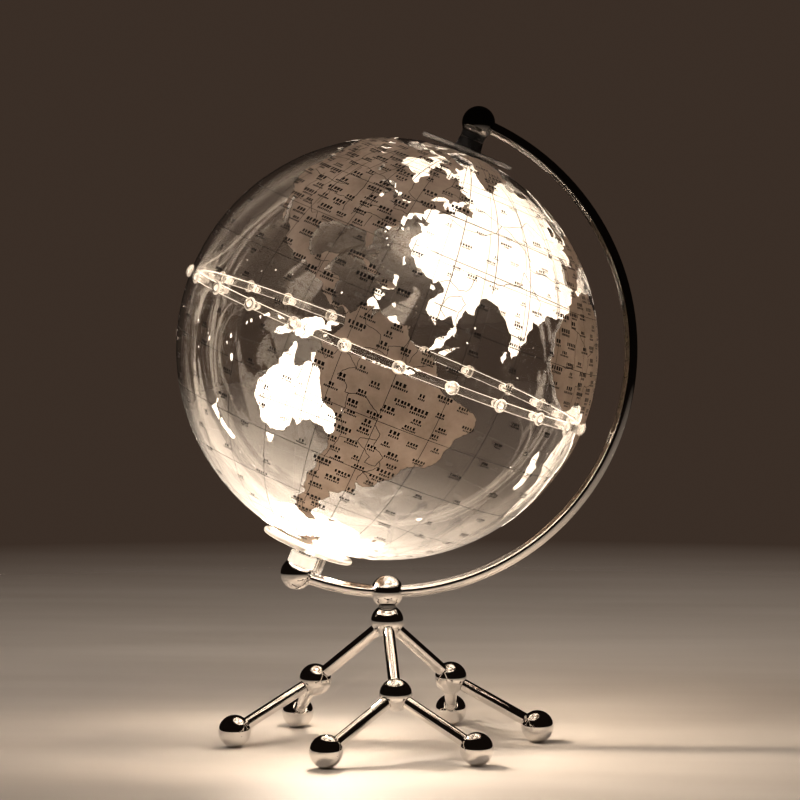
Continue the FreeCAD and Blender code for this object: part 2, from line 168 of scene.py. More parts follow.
def clear(name, tint, haze, rough=0.0, haze_colour=(0.85, 0.8, 0.74), edges=None, edge_glint_haze=0.5,
          pole_haze=0.0):
    """Clear acrylic: refracts what is seen through it, lets the lamp's light through and carries a
    faint haze. Its sawn or turned edges get a whiter haze, partly matt acrylic and partly a painted
    highlight that stands in for the bright glints the lamp puts on them; edges says which way they look.
    pole_haze adds haze towards the south pole, where less of the lamp's light is let through too."""
    n = Nodes(name)
    cloud = n.noise(28, detail=6, roughness=0.65)
    specks = n.between(n.noise(1500, detail=1), haze, haze + 0.03, 0.70, 0.78)
    if edges:
        where = n.add("TexCoord")
        way = n.add("CombineXYZ", X=AXIS.x, Y=AXIS.y, Z=AXIS.z).outputs["Vector"]
        if edges == "round":
            place = n.add("VectorMath", i0=where.outputs["Object"], i1=CENTRE, set_operation="SUBTRACT")
            way = n.add("VectorMath", i0=place.outputs["Vector"], set_operation="NORMALIZE")
            way = way.outputs["Vector"]
        facing = n.add("VectorMath", i0=where.outputs["Normal"], i1=way, set_operation="DOT_PRODUCT")
        facing = n.add("Math", i0=facing.outputs["Value"], set_operation="ABSOLUTE").outputs["Value"]
        # Painted highlight: the edges' extra haze stands in for the bright glints the lamp puts on the
        # edges.
        low, high = (haze, edge_glint_haze) if edges == "flat" else (edge_glint_haze, haze)
        edge_glint = n.between(facing, low, high, 0.55, 0.85)
        specks = n.add("Math", i0=specks, i1=edge_glint, set_operation="MAXIMUM").outputs["Value"]
    passed = tint
    if pole_haze:
        where = n.add("TexCoord").outputs["Object"]
        place = n.add("VectorMath", i0=where, i1=CENTRE, set_operation="SUBTRACT")
        down = n.add("VectorMath", i0=place.outputs["Vector"], i1=AXIS, set_operation="DOT_PRODUCT")
        down = down.outputs["Value"]
        dusty = n.between(down, pole_haze, 0.0, -GLOBE_R * 1.02, -GLOBE_R * 0.48)
        specks = n.add("Math", i0=specks, i1=dusty, set_operation="ADD").outputs["Value"]
        shade = n.between(down, 0.0, 1.0, -GLOBE_R * 0.98, -GLOBE_R * 0.85)
        passed = n.colour(shade, tuple(c * 0.6 for c in tint), tint, 0.0, 1.0)
    glass = n.shader(
        Base_Color=n.colour(cloud, tint, tuple(min(1.0, c * 1.03) for c in tint)),
        Roughness=n.between(cloud, rough, rough + 0.02, 0.45, 0.75),
        Transmission_Weight=1.0,
        IOR=1.52,
    )
    through = n.add("BsdfTransparent", Color=passed).outputs["BSDF"]
    film = n.shader(Base_Color=haze_colour, Roughness=0.5, Specular_IOR_Level=0.0)
    glow = n.add("BsdfTranslucent", Color=haze_colour).outputs["BSDF"]
    hazy = n.mix(specks, glass, n.mix(0.5, film, glow))
    shadow = n.add("LightPath").outputs["Is Shadow Ray"]
    return n.finish(n.mix(shadow, hazy, through))


def plastic(name, low, high, smooth, rough, grain=0.05, scale=400, **more):
    n = Nodes(name)
    mottle = n.noise(60, detail=4)
    fine = n.noise(scale, detail=3)
    return n.finish(n.shader(
        Base_Color=n.colour(mottle, low, high),
        Roughness=n.between(mottle, smooth, rough, 0.3, 0.7),
        Normal=n.bump(fine, grain, 0.0001),
        **more,
    ))


def glowing(name, colour, strength, low, high):
    n = Nodes(name)
    cloud = n.noise(120, detail=3)
    return n.finish(n.shader(
        Base_Color=n.colour(cloud, low, high),
        Roughness=n.between(cloud, 0.35, 0.55),
        Emission_Color=colour,
        Emission_Strength=n.between(cloud, strength * 0.9, strength * 1.1),
    ))


def ink(name, low, high, through, scale=45):
    """A printed film: it reflects light on its own side and lets a share of the lamp's light through."""
    n = Nodes(name)
    blot = n.noise(scale, detail=7, roughness=0.7)
    shade = n.colour(blot, low, high)
    rough = n.between(blot, 0.45, 0.65)
    face = n.shader(Base_Color=shade, Roughness=rough, Specular_IOR_Level=0.3,
                    Normal=n.bump(n.noise(1400, detail=2), 0.12, 0.00005))
    lit = n.add("BsdfTranslucent", Color=shade).outputs["BSDF"]
    return n.finish(n.mix(through, face, lit))


WARM = (1.0, 0.86, 0.70)
PALE = (0.95, 0.92, 0.88)
CHROME = ((0.78, 0.76, 0.74), (0.86, 0.84, 0.82), 0.015, 0.045)
finishes = {
    "chrome": metal("chrome", *CHROME),
    # The long arc tube: chrome with painted shade darkening its upper part.
    "arc_chrome_painted_dark_top": metal("arc_chrome_painted_dark_top", *CHROME, painted_shade_heights=(0.09, 0.20)),
    # Painted shade: a darker copy of the chrome for the upper pole ball, standing in for the dark room it
    # reflects.
    "pole_chrome_painted_dark": metal("pole_chrome_painted_dark", (0.12, 0.115, 0.11), (0.18, 0.175, 0.17), 0.02, 0.05),
    "steel": metal("steel", (0.42, 0.41, 0.40), (0.55, 0.54, 0.52), 0.18, 0.34, scratch=0.08),
    "clear_shell": clear("clear_shell", (0.93, 0.915, 0.895), 0.0008, pole_haze=0.055),
    "clear_trim": clear("clear_trim", (0.97, 0.96, 0.945), 0.006, rough=0.01, haze_colour=PALE),
    # The hoop's, rivets' and discs' edges carry painted highlight in their extra haze.
    "clear_hoop": clear("clear_hoop", (0.97, 0.96, 0.945), 0.006, edges="flat", edge_glint_haze=0.9),
    "clear_rivets": clear("clear_rivets", (0.97, 0.96, 0.945), 0.006, edges="round", edge_glint_haze=0.5),
    "clear_discs": clear("clear_discs", (0.93, 0.90, 0.875), 0.004, edges="rim", edge_glint_haze=0.12),
    "lit_disc": clear("lit_disc", (0.96, 0.94, 0.92), 0.35, rough=0.05, haze_colour=PALE),
    "black_plastic": plastic("black_plastic", (0.006, 0.006, 0.006), (0.016, 0.015, 0.014), 0.22, 0.38),
    "frosted_plastic": glowing("frosted_plastic", WARM, 6.0, (0.85, 0.83, 0.80), (0.95, 0.93, 0.90)),
    # Painted glow: the lower collar is no lamp; its emission stands in for the LED's light shining through
    # it.
    "collar_painted_glow": glowing("collar_painted_glow", WARM, 0.55, (0.85, 0.82, 0.78), (0.93, 0.90, 0.86)),
    "white_plastic": plastic("white_plastic", (0.78, 0.76, 0.73), (0.86, 0.84, 0.81), 0.28, 0.45,
                             Subsurface_Weight=0.2, Subsurface_Scale=0.002),
    "led_phosphor": glowing("led_phosphor", (1.0, 0.82, 0.55), 12.0, (0.85, 0.72, 0.25),
                            (0.92, 0.80, 0.35)),
    "lead_sheath": clear("lead_sheath", (0.90, 0.87, 0.83), 0.12, rough=0.05),
    "brass_contact": metal("brass_contact", (0.62, 0.45, 0.20), (0.75, 0.57, 0.29), 0.15, 0.3),
    "ink_land": ink("ink_land", (0.20, 0.153, 0.119), (0.34, 0.272, 0.223), 0.25),
    "ink_white": ink("ink_white", (0.82, 0.795, 0.75), (0.92, 0.895, 0.86), 0.36),
    "ink_line": plastic("ink_line", (0.004, 0.003, 0.0025), (0.012, 0.009, 0.007), 0.5, 0.65, grain=0.02,
                        Specular_IOR_Level=0.1),
}

# Pieces that look different from the others of their slot
own_finish = {
    "equator_hoop": "clear_hoop", "equator_rivets": "clear_rivets", "upper_disc": "clear_discs",
    "lower_disc": "lit_disc", "lower_collar": "collar_painted_glow", "lower_spacer": "clear_trim",
    "pole_ball_upper": "pole_chrome_painted_dark", "arc_tube_long": "arc_chrome_painted_dark_top",
}
for part in frame["record"]["subparts"]:
    mesh = nodes[part["node"]].data
    mesh.materials.clear()
    mesh.materials.append(finishes[own_finish.get(part["node"], part["material_slot"])])


# The map: coasts as longitude, latitude pairs, written from general knowledge

COASTS = {
"north_america": """-168,65.6 -164,66.6 -161.8,66.2 -163.6,67.2 -166.6,68.4 -163,69.4 -160,70.6
 -156.5,71.3 -152,70.9 -147,70.2 -141,69.7 -135.5,69.2 -129,70.1 -125,70 -122,69.8 -115,68.4 -109,68.1
 -107.7,66.9 -106,68.6 -101,67.8 -96,68.2 -94,71.8 -92,69.6 -88,68.3 -85.5,69.8 -81.5,68.5 -86,66.4
 -87.5,64.5 -93.5,62 -94.7,58.8 -92.5,57 -88,56.5 -85,55.3 -82.3,55.1 -82.3,52.9 -80,51.3 -78.8,52.5
 -79.5,54.6 -76.7,56.5 -78.5,58.8 -77.5,60.8 -77.8,62.4 -74,62.3 -70,61 -69.5,59 -67.5,58.3 -65.5,59.8
 -64.5,60.4 -62,57.5 -60,55 -57.5,54.5 -56,52.5 -58.5,51.3 -60,50.2 -66.5,50.2 -70.5,47.1 -64.4,48.9
 -65,47 -64,46 -61.3,45.8 -60.2,46.6 -61.2,45.3 -63.5,44.6 -65.8,43.5 -64.6,45.3 -67,44.8 -70,43.6
 -70.7,42.5 -70,41.7 -72.5,41.2 -74,40.6 -75,38.6 -76.2,39.2 -76,37 -75.6,35.3 -78,33.9 -81,32 -81.4,30.5
 -80.1,27 -80.4,25.2 -81.8,26 -82.8,28 -84,30 -85.5,29.7 -89,30.3 -89.4,29.1 -91.5,29.4 -94.5,29.4
 -97.3,27.5 -97.7,24 -97.8,22.3 -96.2,19.2 -94.5,18.2 -91.8,18.6 -90.5,20.8 -87.1,21.5 -87.8,18.3
 -88.9,15.9 -86,15.9 -83.2,15 -83.6,12 -82.8,9.6 -81,8.8 -79.6,9.5 -77.4,8.7 -77.9,7.3 -79.6,8.9 -80.4,7.4
 -83,8.3 -85.7,10 -87.5,12.8 -91.5,14 -94.5,16.2 -97.5,15.9 -101.5,17.6 -105.5,20.2 -106,22.8 -109.2,25.8
 -111,27.9 -113,31.1 -114.8,31.7 -113,28.5 -111,25.5 -109.5,23.1 -112.1,25 -115,27.8 -116,30.4 -117.2,32.6
 -118.5,34 -120.6,34.6 -122.4,37.5 -124.2,40.3 -124.3,43 -124.1,46.2 -124.7,48.4 -122.6,47.6 -123,49
 -127.5,51.5 -130,55 -134,58 -139.5,59.7 -145,60.4 -148,60.3 -151.5,59.3 -151,61.2 -154,58.8 -158.5,56.5
 -164.8,54.6 -160.5,56 -157.5,58.7 -162,58.7 -162,60 -166,61.7 -164.5,63.2 -161,64.5 -166,64.6""",
"south_america": """-77.4,8.7 -76.8,8 -75.6,10.6 -74.2,11.3 -71.7,12.4 -71.6,9.3 -70,12.1 -68,10.6
 -65,10.1 -62,10.7 -60.8,8.5 -57,6 -54,5.9 -51.6,4.2 -50,1.8 -50.6,-0.2 -48.5,-0.8 -44.5,-2.5 -41.5,-3
 -38.5,-3.8 -35.3,-5.3 -34.8,-7.2 -35.3,-9.2 -37.2,-11.2 -38.6,-13 -39,-15.5 -39.3,-18 -40.8,-21.5
 -42,-22.9 -44.7,-23.2 -48,-25.5 -48.6,-28 -50.3,-30.3 -52.3,-32.5 -53.6,-34 -55.5,-34.9 -58.2,-34
 -57.2,-36 -57.6,-38.1 -61,-38.9 -62.2,-40.2 -65,-40.9 -63.8,-42.5 -65.3,-44.5 -67.4,-46 -65.8,-47.6
 -68.5,-50.2 -68.4,-52.3 -65.3,-54.7 -68.5,-55.5 -71.5,-54.2 -74.5,-52.5 -75.4,-49 -75.5,-46.7 -73,-44
 -74,-41.8 -73.4,-39 -73.3,-36.8 -71.6,-33 -71.4,-30 -70.5,-25 -70.3,-18.4 -73,-16.5 -76.3,-13.8 -77.2,-12
 -79.5,-7.5 -81.2,-6 -81.3,-4.3 -80,-3 -81,-1.5 -80,0.5 -78.7,1.6 -77.3,4 -77.5,6.5 -77.9,7.3""",
"greenland": """-73,78.2 -66,79.3 -65,81 -60,82 -48,82.2 -40,83.2 -30,83.5 -22,82.6 -12.5,81.4 -18,79.7
 -19.5,77.5 -18.5,75.5 -21.5,73.5 -25,71.9 -22,70.4 -26,68.5 -32,68 -38,65.7 -41,64 -42.5,61 -44,59.9
 -48,61 -51,63.5 -53.5,66 -54,67.8 -51,69.5 -54.5,70.8 -55.5,73 -58.5,75.5 -68,76 -71,77""",
"baffin": """-85,73.6 -80.5,73.7 -76,72.7 -71,71 -67,69.3 -62,66.9 -64.2,65.2 -68,66 -64.7,63.3 -66,62
 -71.5,63.5 -78,64.5 -73.5,66.3 -73,68.5 -79,70 -89,70.5 -89.5,72.5""",
"ellesmere": "-90,76.5 -80,76.2 -75.5,78.6 -63,81.8 -62,82.6 -70,83.1 -85,82.2 -92,81 -87,79 -88.5,77.5",
"banks": "-125,72 -123,74.2 -117,73.8 -120,71.8",
"newfoundland": "-59.3,47.8 -57.4,50.7 -55.6,51.4 -56,49.9 -53,48.8 -53,46.8 -56,47",
"cuba": "-84.8,21.9 -82.5,23.1 -79.5,22.8 -75.5,21 -74.2,20.2 -77.5,19.9 -78.2,20.9 -82,22.3",
"hispaniola": "-74.4,18.4 -72.8,18.5 -73.2,19.9 -70,19.7 -68.5,18.5 -71.2,17.8",
"jamaica": "-78.3,18.3 -76.3,18.2 -77.2,17.8",
"puerto_rico": "-67.2,18.4 -65.7,18.4 -65.9,18 -67.1,18",
"iceland": "-24,65.5 -22.2,66.4 -20,65.8 -16,66.4 -13.7,65 -18.5,63.5 -22.5,63.9 -22,65",
"africa": """-6,35.8 -2,35.1 3,36.8 10,37.3 11,34 15.2,32.3 19.6,30.5 20.3,32.5 23,32.7 29,30.9 32.3,31.3
 32.6,29.9 35.5,24 37.2,21 37.3,19 39.5,15.5 43.2,12.5 43.2,11.4 47,11.1 51.2,11.9 50.8,9 47.5,4.5 43,0
 40.2,-2.7 38.8,-6 40.5,-10.5 40.7,-15 36.8,-18 34.8,-20 35.4,-24 32.8,-26 32.3,-28.6 30,-31.3 27,-33.6
 22,-34 20,-34.8 18.4,-34 18,-32 16.5,-28.6 15,-26 14.4,-22.5 12,-18 12.5,-13.4 13.4,-9 12,-5 9,-1 9.5,3.5
 8.5,4.6 6,4.3 4.5,6.3 1.2,6 -2,4.9 -7.5,4.4 -11.5,7 -13.2,9 -15,11 -16.8,13 -17.5,14.7 -16.4,17 -17,21
 -15.8,24 -12.9,28 -9.8,29.8 -9.7,31.5 -7,33.9""",
"madagascar": "49.3,-12.1 50.4,-15.7 49.5,-18 47.2,-24.9 45,-25.5 43.5,-23 44.4,-20 44.2,-16.6 47,-15.2",
"eurasia": """-9,37 -9.5,38.8 -8.8,41.5 -9.2,43.2 -3.8,43.5 -1.6,43.4 -1.2,45.5 -2.5,47.3 -4.7,48.3
 -1.6,48.7 -1.6,49.7 1.5,50.1 3.5,51.4 4.7,53 8,53.7 8.1,57 10.6,57.7 10.3,56 10,54.8 11,54 14,54
 18.5,54.7 21,55.3 21.3,57.2 24,57.1 23.5,59.2 28,59.6 30,60 25,60.2 22,60 21.3,61.5 21.5,63 25,65 22,65.8
 19,63.5 17.2,61.3 18.8,59.9 16.6,57.8 16,56.2 14.2,55.4 12.8,55.5 11.3,58.8 10.6,59.5 8,58.1 5.6,58.9
 5,61.5 8,63.5 12,66 15,68.5 19,70 25.7,71 31,70.3 33,69.3 41,67.5 40,66.2 33,66.5 37,64 44,66 43.5,68.5
 46.5,67.6 54,68.3 60.5,69 67,68.8 66.8,71 70,73.3 72.5,71 73,68 74.5,72.5 80.5,73 87,75 97,76 104,77.7
 113,75.5 107,73.5 113,73.6 123,73 127,71.5 130,71 140,72.5 150,71.5 160,69.7 170,69.8 178,69 188,67
 190.2,66 187,64.3 180,62.5 179,62.3 170.5,60 163.8,59.8 163,57.8 162,54.8 158.5,52.8 156.7,51 155.8,55
 157,57.8 161,60.5 163.5,62.4 156.5,61.5 152,59 143,59.3 135.5,54.8 141,53.2 140.3,50 138,46.3 133,42.8
 130.6,42.3 127.5,39.8 129.4,37 129,35.2 126.5,34.5 126.6,37.2 125,38.2 125,39.8 121.5,38.9 121.8,40.8
 118,39 119,37.3 122.6,37.3 119.3,35 120.8,33 121.8,31.5 121.8,29 119.8,26 117,23.5 113.5,22.2 110.5,21.2
 110,20.4 108.5,21.7 106,20 105.8,18.8 108.8,15.5 109.3,12 107,10.4 104.8,8.7 105,10.3 102.5,12 100.9,13.4
 99.3,10.5 100.4,7.3 103.3,4.5 104.1,1.4 101.3,2.9 100.3,5.8 98.3,8.5 98.6,13 97.5,16.5 94.3,16 94,19
 91.8,22.4 89,21.8 87,21.4 84.5,19.1 82.2,16.6 80.2,15.2 80.2,12.5 79.8,10.3 78,8.4 76.3,9.9 74.4,14.5
 72.8,19 72.7,21.5 70.3,20.9 69,22.3 67,24.8 61.7,25.1 57.2,25.7 56,27 51.3,27.9 49.5,30.1 48,30 48.5,28
 50.1,26.2 51.5,25.3 51.7,24.2 54,24.2 56.3,26 56.6,24.3 59.8,22.5 57.7,19 55,17 52.2,15.6 48.7,14 45,12.9
 43.4,12.7 42.7,16 39.1,21.3 37,24.5 34.9,28 34.9,29.4 34.2,27.8 32.6,29.9 32.3,31.3 34.4,31.5 35.8,35
 36,36.8 32.5,36.1 30.6,36.8 27.5,36.8 26.3,39.3 29,41 33,42 36,41.5 41.5,41.5 38,44.4 39,47 35,46.3
 36.5,45.2 33.5,44.5 33,46.1 30.7,46.3 28.6,43.5 28,41.5 26,40.7 23.8,40.2 24,37.7 22.8,36.5 21.2,37.8
 19.4,41 18.5,42.5 15.2,44.2 13.6,45.5 12.3,45.3 12.5,44 14.2,42.4 16,41.9 18.5,40.2 16.6,40.3 17,39
 15.7,38 15.7,40 12.3,41.8 10.3,43.6 8.8,44.4 6.5,43.2 3.1,43 3.2,41.8 0.3,40 0,38.7 -2,36.8 -5.5,36.1""",
"caspian": "47,44.6 49,46.4 53,46.6 51.2,44.5 53.5,42 54,39 53.8,37 50,37.5 49.2,40 47.6,42.8",
"superior": "-92,46.7 -88.5,48.6 -86,48.7 -84.7,46.6 -87.5,46.5",
"michigan": "-87.8,42 -86.5,41.8 -86.3,43.5 -85.2,45.8 -87.5,45.5",
"huron": "-84.5,46 -81.5,46 -80,44.8 -82.4,43 -83.5,44",
"erie": "-83.3,41.7 -80.5,42.7 -78.9,42.9 -81.5,41.5",
"ontario": "-79.8,43.4 -76.4,44.2 -76.6,43.4",
"winnipeg": "-98.8,53.8 -97,53.5 -96.4,50.5 -98,51.5",
"great_slave": "-116.8,61.1 -113,62.2 -109.3,62.8 -112.5,61",
"great_bear": "-124.5,66.3 -119,66.9 -117.8,65.4 -122,65",
"athabasca": "-111,58.6 -106,59.4 -106.5,58.9",
"nicaragua": "-86,12 -84.9,11.1 -85.6,11.2",
"victoria": "31.7,-0.5 34,0.2 34,-2 32,-2.6",
"tanganyika": "29.1,-3.5 29.9,-5 31,-8.7 30,-7.5",
"malawi": "33.9,-9.7 34.8,-12 35.3,-14.3 34.1,-12",
"chad": "13.6,13.4 14.8,13.8 14.6,12.7",
"titicaca": "-70,-15.3 -68.8,-16.5 -69.6,-16.2",
"aral": "58.5,45.5 60.5,46.7 61.5,44.5 59,43.8",
"baikal": "103.8,51.5 108,53.1 109.9,55.7 108.4,54.5 105.3,51.9",
"ladoga": "30.3,60.6 31,61.7 32.9,61.2 31.6,59.9",
"balkhash": "73.6,46 76,46.9 79,46.8 75.5,46.3",
"britain": """-5.5,50.1 1.3,51.1 1.7,52.7 0.2,53 -1.5,55 -2,57.6 -4,57.7 -3.2,58.6 -5,58.5 -5.8,56.8
 -4.8,55 -3,54 -4.5,53.2 -5,51.8 -3,51.4""",
"ireland": "-10,51.6 -6.3,52.2 -6,54 -7.5,55.3 -10,54.2 -9.5,53",
"honshu": """130.2,31.3 131.6,31.6 132,33.2 134.5,33.6 135.7,33.5 137,34.6 140,35 141,37 142,39.6
 141.3,41.4 140,40.5 139.5,38.5 137,37.3 136,35.8 132.7,35.4 130.9,34.3 129.8,33""",
"hokkaido": "140,41.5 143.2,42 145.5,43.3 143.5,44.2 141.8,45.4 141.6,43.4 140,42.7",
"sakhalin": "142,46 143.4,49.3 143.2,52.5 142.6,54.3 142,52 142.1,49",
"taiwan": "120.1,23 121.5,25.2 120.9,22.1",
"hainan": "108.7,19 110.6,20 110.5,18.6 109.2,18.3",
"luzon": "120.3,16 120.7,18.5 122.2,18.4 121.5,16 124,13 123.2,13.2 120.6,14",
"mindanao": "122,7 125.5,6 126.4,8 125.3,9.8 123.5,8.5",
"samar": "124.3,12.5 125.4,12.4 125.2,10.3 123.2,9.4 122.2,11.4",
"borneo": """109,1.5 110.1,-1.5 110.2,-3 114,-3.6 116,-4 116.5,-1.5 119,1 117.8,3.8 119.2,5.3 116.8,7
 115,5 113,3.2 111,1.7""",
"sumatra": "95.3,5.6 98,4 100.5,2.2 103.5,-1 106,-3 105.8,-5.8 104.5,-5.8 102.2,-3.9 100.3,-0.9 98.7,1.7",
"java": "105.3,-6.8 106.5,-6 108.7,-6.7 110.9,-6.4 114.5,-7.8 114.4,-8.7 110,-8.1 106.5,-7.4",
"sulawesi": """119.4,-5.6 120.3,-5.6 120.4,-3 122.6,-5.3 121.6,-1.9 123.4,-0.7 120.4,-0.9 120.1,0.4
 125.1,1.6 120.8,1.3 119.7,0.5 119.3,-1.5 118.8,-3""",
"timor": "123.5,-10.3 127.2,-8.4 125,-8.7",
"new_guinea": """131,-0.9 134,-0.8 135,-3.3 138,-1.7 141,-2.7 145,-4.4 147.5,-6 147.2,-7 150.7,-10.4
 147.5,-10 144.5,-7.7 143,-9.1 139,-8.1 138,-5.6 135.2,-4.4 133,-4 133.8,-2.4 131.9,-2""",
"new_britain": "148.4,-5.7 151.5,-5 152.3,-4.2 151,-6",
"australia": """114.1,-21.9 116.8,-20.6 119.5,-20 122.2,-18.2 122.3,-17.2 124.5,-16.3 126.8,-13.9
 129.5,-15 130.8,-12.4 132.6,-11.3 136.8,-12.2 135.5,-14.8 139.2,-17.4 140.9,-17.5 141.6,-13.2 142.5,-10.7
 143.8,-14.3 145.4,-15 146.2,-18.8 149.2,-21 150.8,-23.5 153.2,-25.5 153.6,-28.6 152.5,-32.2 150.8,-34.8
 149.9,-37.5 146.4,-39.1 143.6,-38.8 140.3,-37.9 138.3,-35.6 137.8,-32.8 135.7,-34.9 134.2,-32.8
 131.2,-31.5 126,-32.3 123.8,-33.9 119.9,-34 117.9,-35.1 115.1,-34.3 115.7,-32 114.2,-27.7 113.5,-25""",
"tasmania": "144.7,-40.8 148.3,-40.9 147.9,-43.2 146,-43.5 145.2,-42.2",
"new_zealand_north": "172.7,-34.5 175.5,-36.6 178.5,-37.7 177,-39.4 175.2,-41.6 173.8,-39.3 174.8,-37.8",
"new_zealand_south": """172.7,-40.5 174.3,-41.7 172.8,-43.8 170.7,-45.9 168.4,-46.6 166.5,-45.9 168.5,-44
 171,-42.5""",
"sri_lanka": "79.9,8 80.2,9.7 81.8,7.5 80.5,6",
"novaya_zemlya": "51.6,71.5 55,73.3 57,75.3 68,76.9 61,75.3 57,72.8 57.5,70.7 53.5,70.8",
"svalbard": "11,79.5 20,80.3 27,80 20,78.5 17,76.7 14,77.6",
"antarctica": """-180,-78 -165,-78.3 -155,-77.2 -147,-76 -137,-74.7 -125,-73.8 -113,-74.2 -103,-73
 -98,-71.8 -90,-73 -80,-73.3 -73,-73 -74,-70.5 -68,-67.5 -61,-64 -57.5,-63.3 -60,-65 -62,-68.5 -61,-72
 -61,-75 -68,-78 -58,-80.5 -50,-78 -36,-78.5 -28,-76.3 -18,-73 -10,-71 0,-70 12,-70 25,-70.5 33,-68.7
 40,-69.5 48,-67.7 55,-66 62,-67.5 70,-68.5 71.5,-70.8 77,-69.3 82,-67 93,-66.5 103,-65.7 113,-66
 122,-66.7 135,-66.2 146,-67.2 155,-69 163,-70.5 170,-71.7 166,-75 164,-77.5 172,-78.3""",
}

# Land borders, each run of longitude, latitude pairs parted by a semicolon
BORDERS = """-123,49 -95,49 -89,48 -83,46 -82.5,42.5 -79,43.3 -75,45 -71,45.3 -69,47.3 -67.2,45;
 -117.1,32.5 -111,31.3 -106.5,31.8 -103,29 -101.4,29.8 -99.2,26.4 -97.2,25.9; -141,69.6 -141,60.3 -137,59
 -130.2,55.5; -92.2,14.5 -90.5,16 -91,17.8 -88.4,18.4; -71.5,12 -73,9 -72,7 -67.5,6 -67,2 -64,1.5 -64.5,4
 -60.7,5 -59.8,8.3; -60.7,5 -58.5,1.3 -54.5,2.3 -52,4; -57.2,5.9 -58,2; -54,5.6 -54.5,2.3; -67,2 -69.8,1.6
 -70,-4.2 -73,-6 -74,-7.5 -70.6,-9.5 -70.6,-11 -69.5,-11; -78.9,1.4 -75.5,0 -72,-2.4 -70,-4.2; -80.3,-3.4
 -78.5,-5 -75.3,-.2; -69.5,-11 -69,-15 -69.5,-17.5 -70.4,-18.3; -69.5,-11 -65.3,-10 -60,-13.6 -60,-16.2
 -57.8,-18 -57.9,-20 -62.3,-21 -62.6,-22.2 -57.7,-25.3 -58.5,-27.3 -55,-27.2 -54.5,-25.2 -54.2,-24
 -57.9,-22.1 -57.9,-20; -67.8,-22.8 -68.5,-26 -70,-31 -70.3,-35 -71.5,-40 -72,-46 -73,-50 -71.9,-52
 -68.4,-52.4; -69.5,-17.5 -68,-20 -67.8,-22.8 -62.6,-22.2; -57.6,-30.2 -53.4,-33.7; -54.5,-25.6 -53.8,-27
 -57.6,-30.2 -58.2,-33.5; -8.7,27.7 -8.7,26 -4.8,25 1.2,21.1 3.2,19.3 12,23.5 10,30 11,33; -12,15 -8,15
 -5.5,15.5 -5,25; .2,15 3.5,15.3 4,19; 25,31.5 25,22 37,22; 25,22 24,20 16,23.5 12,23.5; 24,20 22,12 27,5
 31,4 34,4.5; 14,13 15,8 18.5,5 27,5; -3,5 -2.8,11 0,11; 1.5,6.2 1,11; 2.7,6.3 3.6,11.7 13,13.5; 12.3,-6
 17,-6 22,-11 24,-13 22,-13 22,-18 12,-17.3; 20,-18 20,-28 17,-28.8; 20,-25 25,-25.5 29.5,-22 31,-22.4;
 30,-22 33,-16 30,-15; 34,-1 37,-3 39,-4.7; 30,-1 29.5,-8 33,-9.5 35,-11.5 40,-10.7; 9,-1 14,2 18,4; 18,4
 16.5,-2 13,-5; 36.5,4.5 42,4 47.9,8 43,11.5; 42,4 41.5,-1.7; 36.5,14.3 34,10 34,4.5; 87.5,49 98,52 107,50
 116,49.8 120,53.3 127,50 131,48 135,48.4 131,45 130.6,42.4; 87.8,49 91,45.2 96,42.7 105,41.6 111.8,43.7
 119.8,46.7 116,49.8; 50,51.5 61,51 70,55 80,51 87.3,49 80,45 74,40; 78,35.5 79,31 81,30 88,27.9 92,27.8
 97,28.2 99,22 101.5,21.3 105,23.2 108,21.6; 68.2,23.7 71,25 70,28 75,32.5 78,35.5; 61,25.2 61,36.5
 66,37.5 74.8,37.3; 44.8,39.7 48,30; 53.8,37.4 61,36.5; 36,36.8 42.3,37.2 44.8,39.7; 28.2,45.4 22,48 24,52
 23,54.5 28,56 28,59.5; 8,54.8 6.5,49.5 8,47.5 7,44; 14.8,54 15,50.8 17,48 14,46.5 12.5,45.6; 30.5,69.5
 29,65 27.9,60.5; 12,61 12.5,64 20.5,69; -1.8,43.3 3,42.4; -8.2,42 -6.5,41.5 -7,37.3; 35,29.5 39,32 42,31
 47,29; 52,19 56,22 56,24.6; 44,17.3 49,18.5 52,19; 98.3,10 99.5,15 98,18 100,20 104,18 105.5,14.5
 102.8,12; 129,-14.9 129,-31.6; 138,-16.6 138,-26; 129,-26 141,-26 141,-38; 141,-34 146,-36 150,-37.5;
 141,-29 149,-29 153.5,-28.2; 141,-2.6 141,-9.1; -109,49 -109,31.3; -104,49 -104,32; -120,42 -102,41;
 -114,42 -114,35; -96.5,49 -94.6,40 -94.5,33; -102,37 -94.6,37; -91.2,43.5 -90,37 -91.2,33; -90,35
 -82,35.2 -75.8,36.5; -88,41.7 -88,38 -82,38.5; -80.5,42 -80.5,39.7 -75,39.7; -85,35 -85.2,31; -110,60
 -110,49; -120,60 -114,49; -102,60 -101.5,49; -95,49 -89,56.8; -79.5,51.5 -79.5,47 -74.5,45.3; -125,60
 -94.7,60; -64,60 -67,53 -57,51.5; 110,1.7 112,.9 115,4 117,4.2; 124,39.9 130.6,42.4; 126.5,37.8
 128.4,38.6"""

# Inland waters, cut out of the land named
LAKES = {
    "eurasia": ("caspian", "aral", "baikal", "ladoga", "balkhash"),
    "north_america": ("superior", "michigan", "huron", "erie", "ontario", "winnipeg", "great_slave",
                      "great_bear", "athabasca", "nicaragua"),
    "africa": ("victoria", "tanganyika", "malawi", "chad"),
    "south_america": ("titicaca",),
}

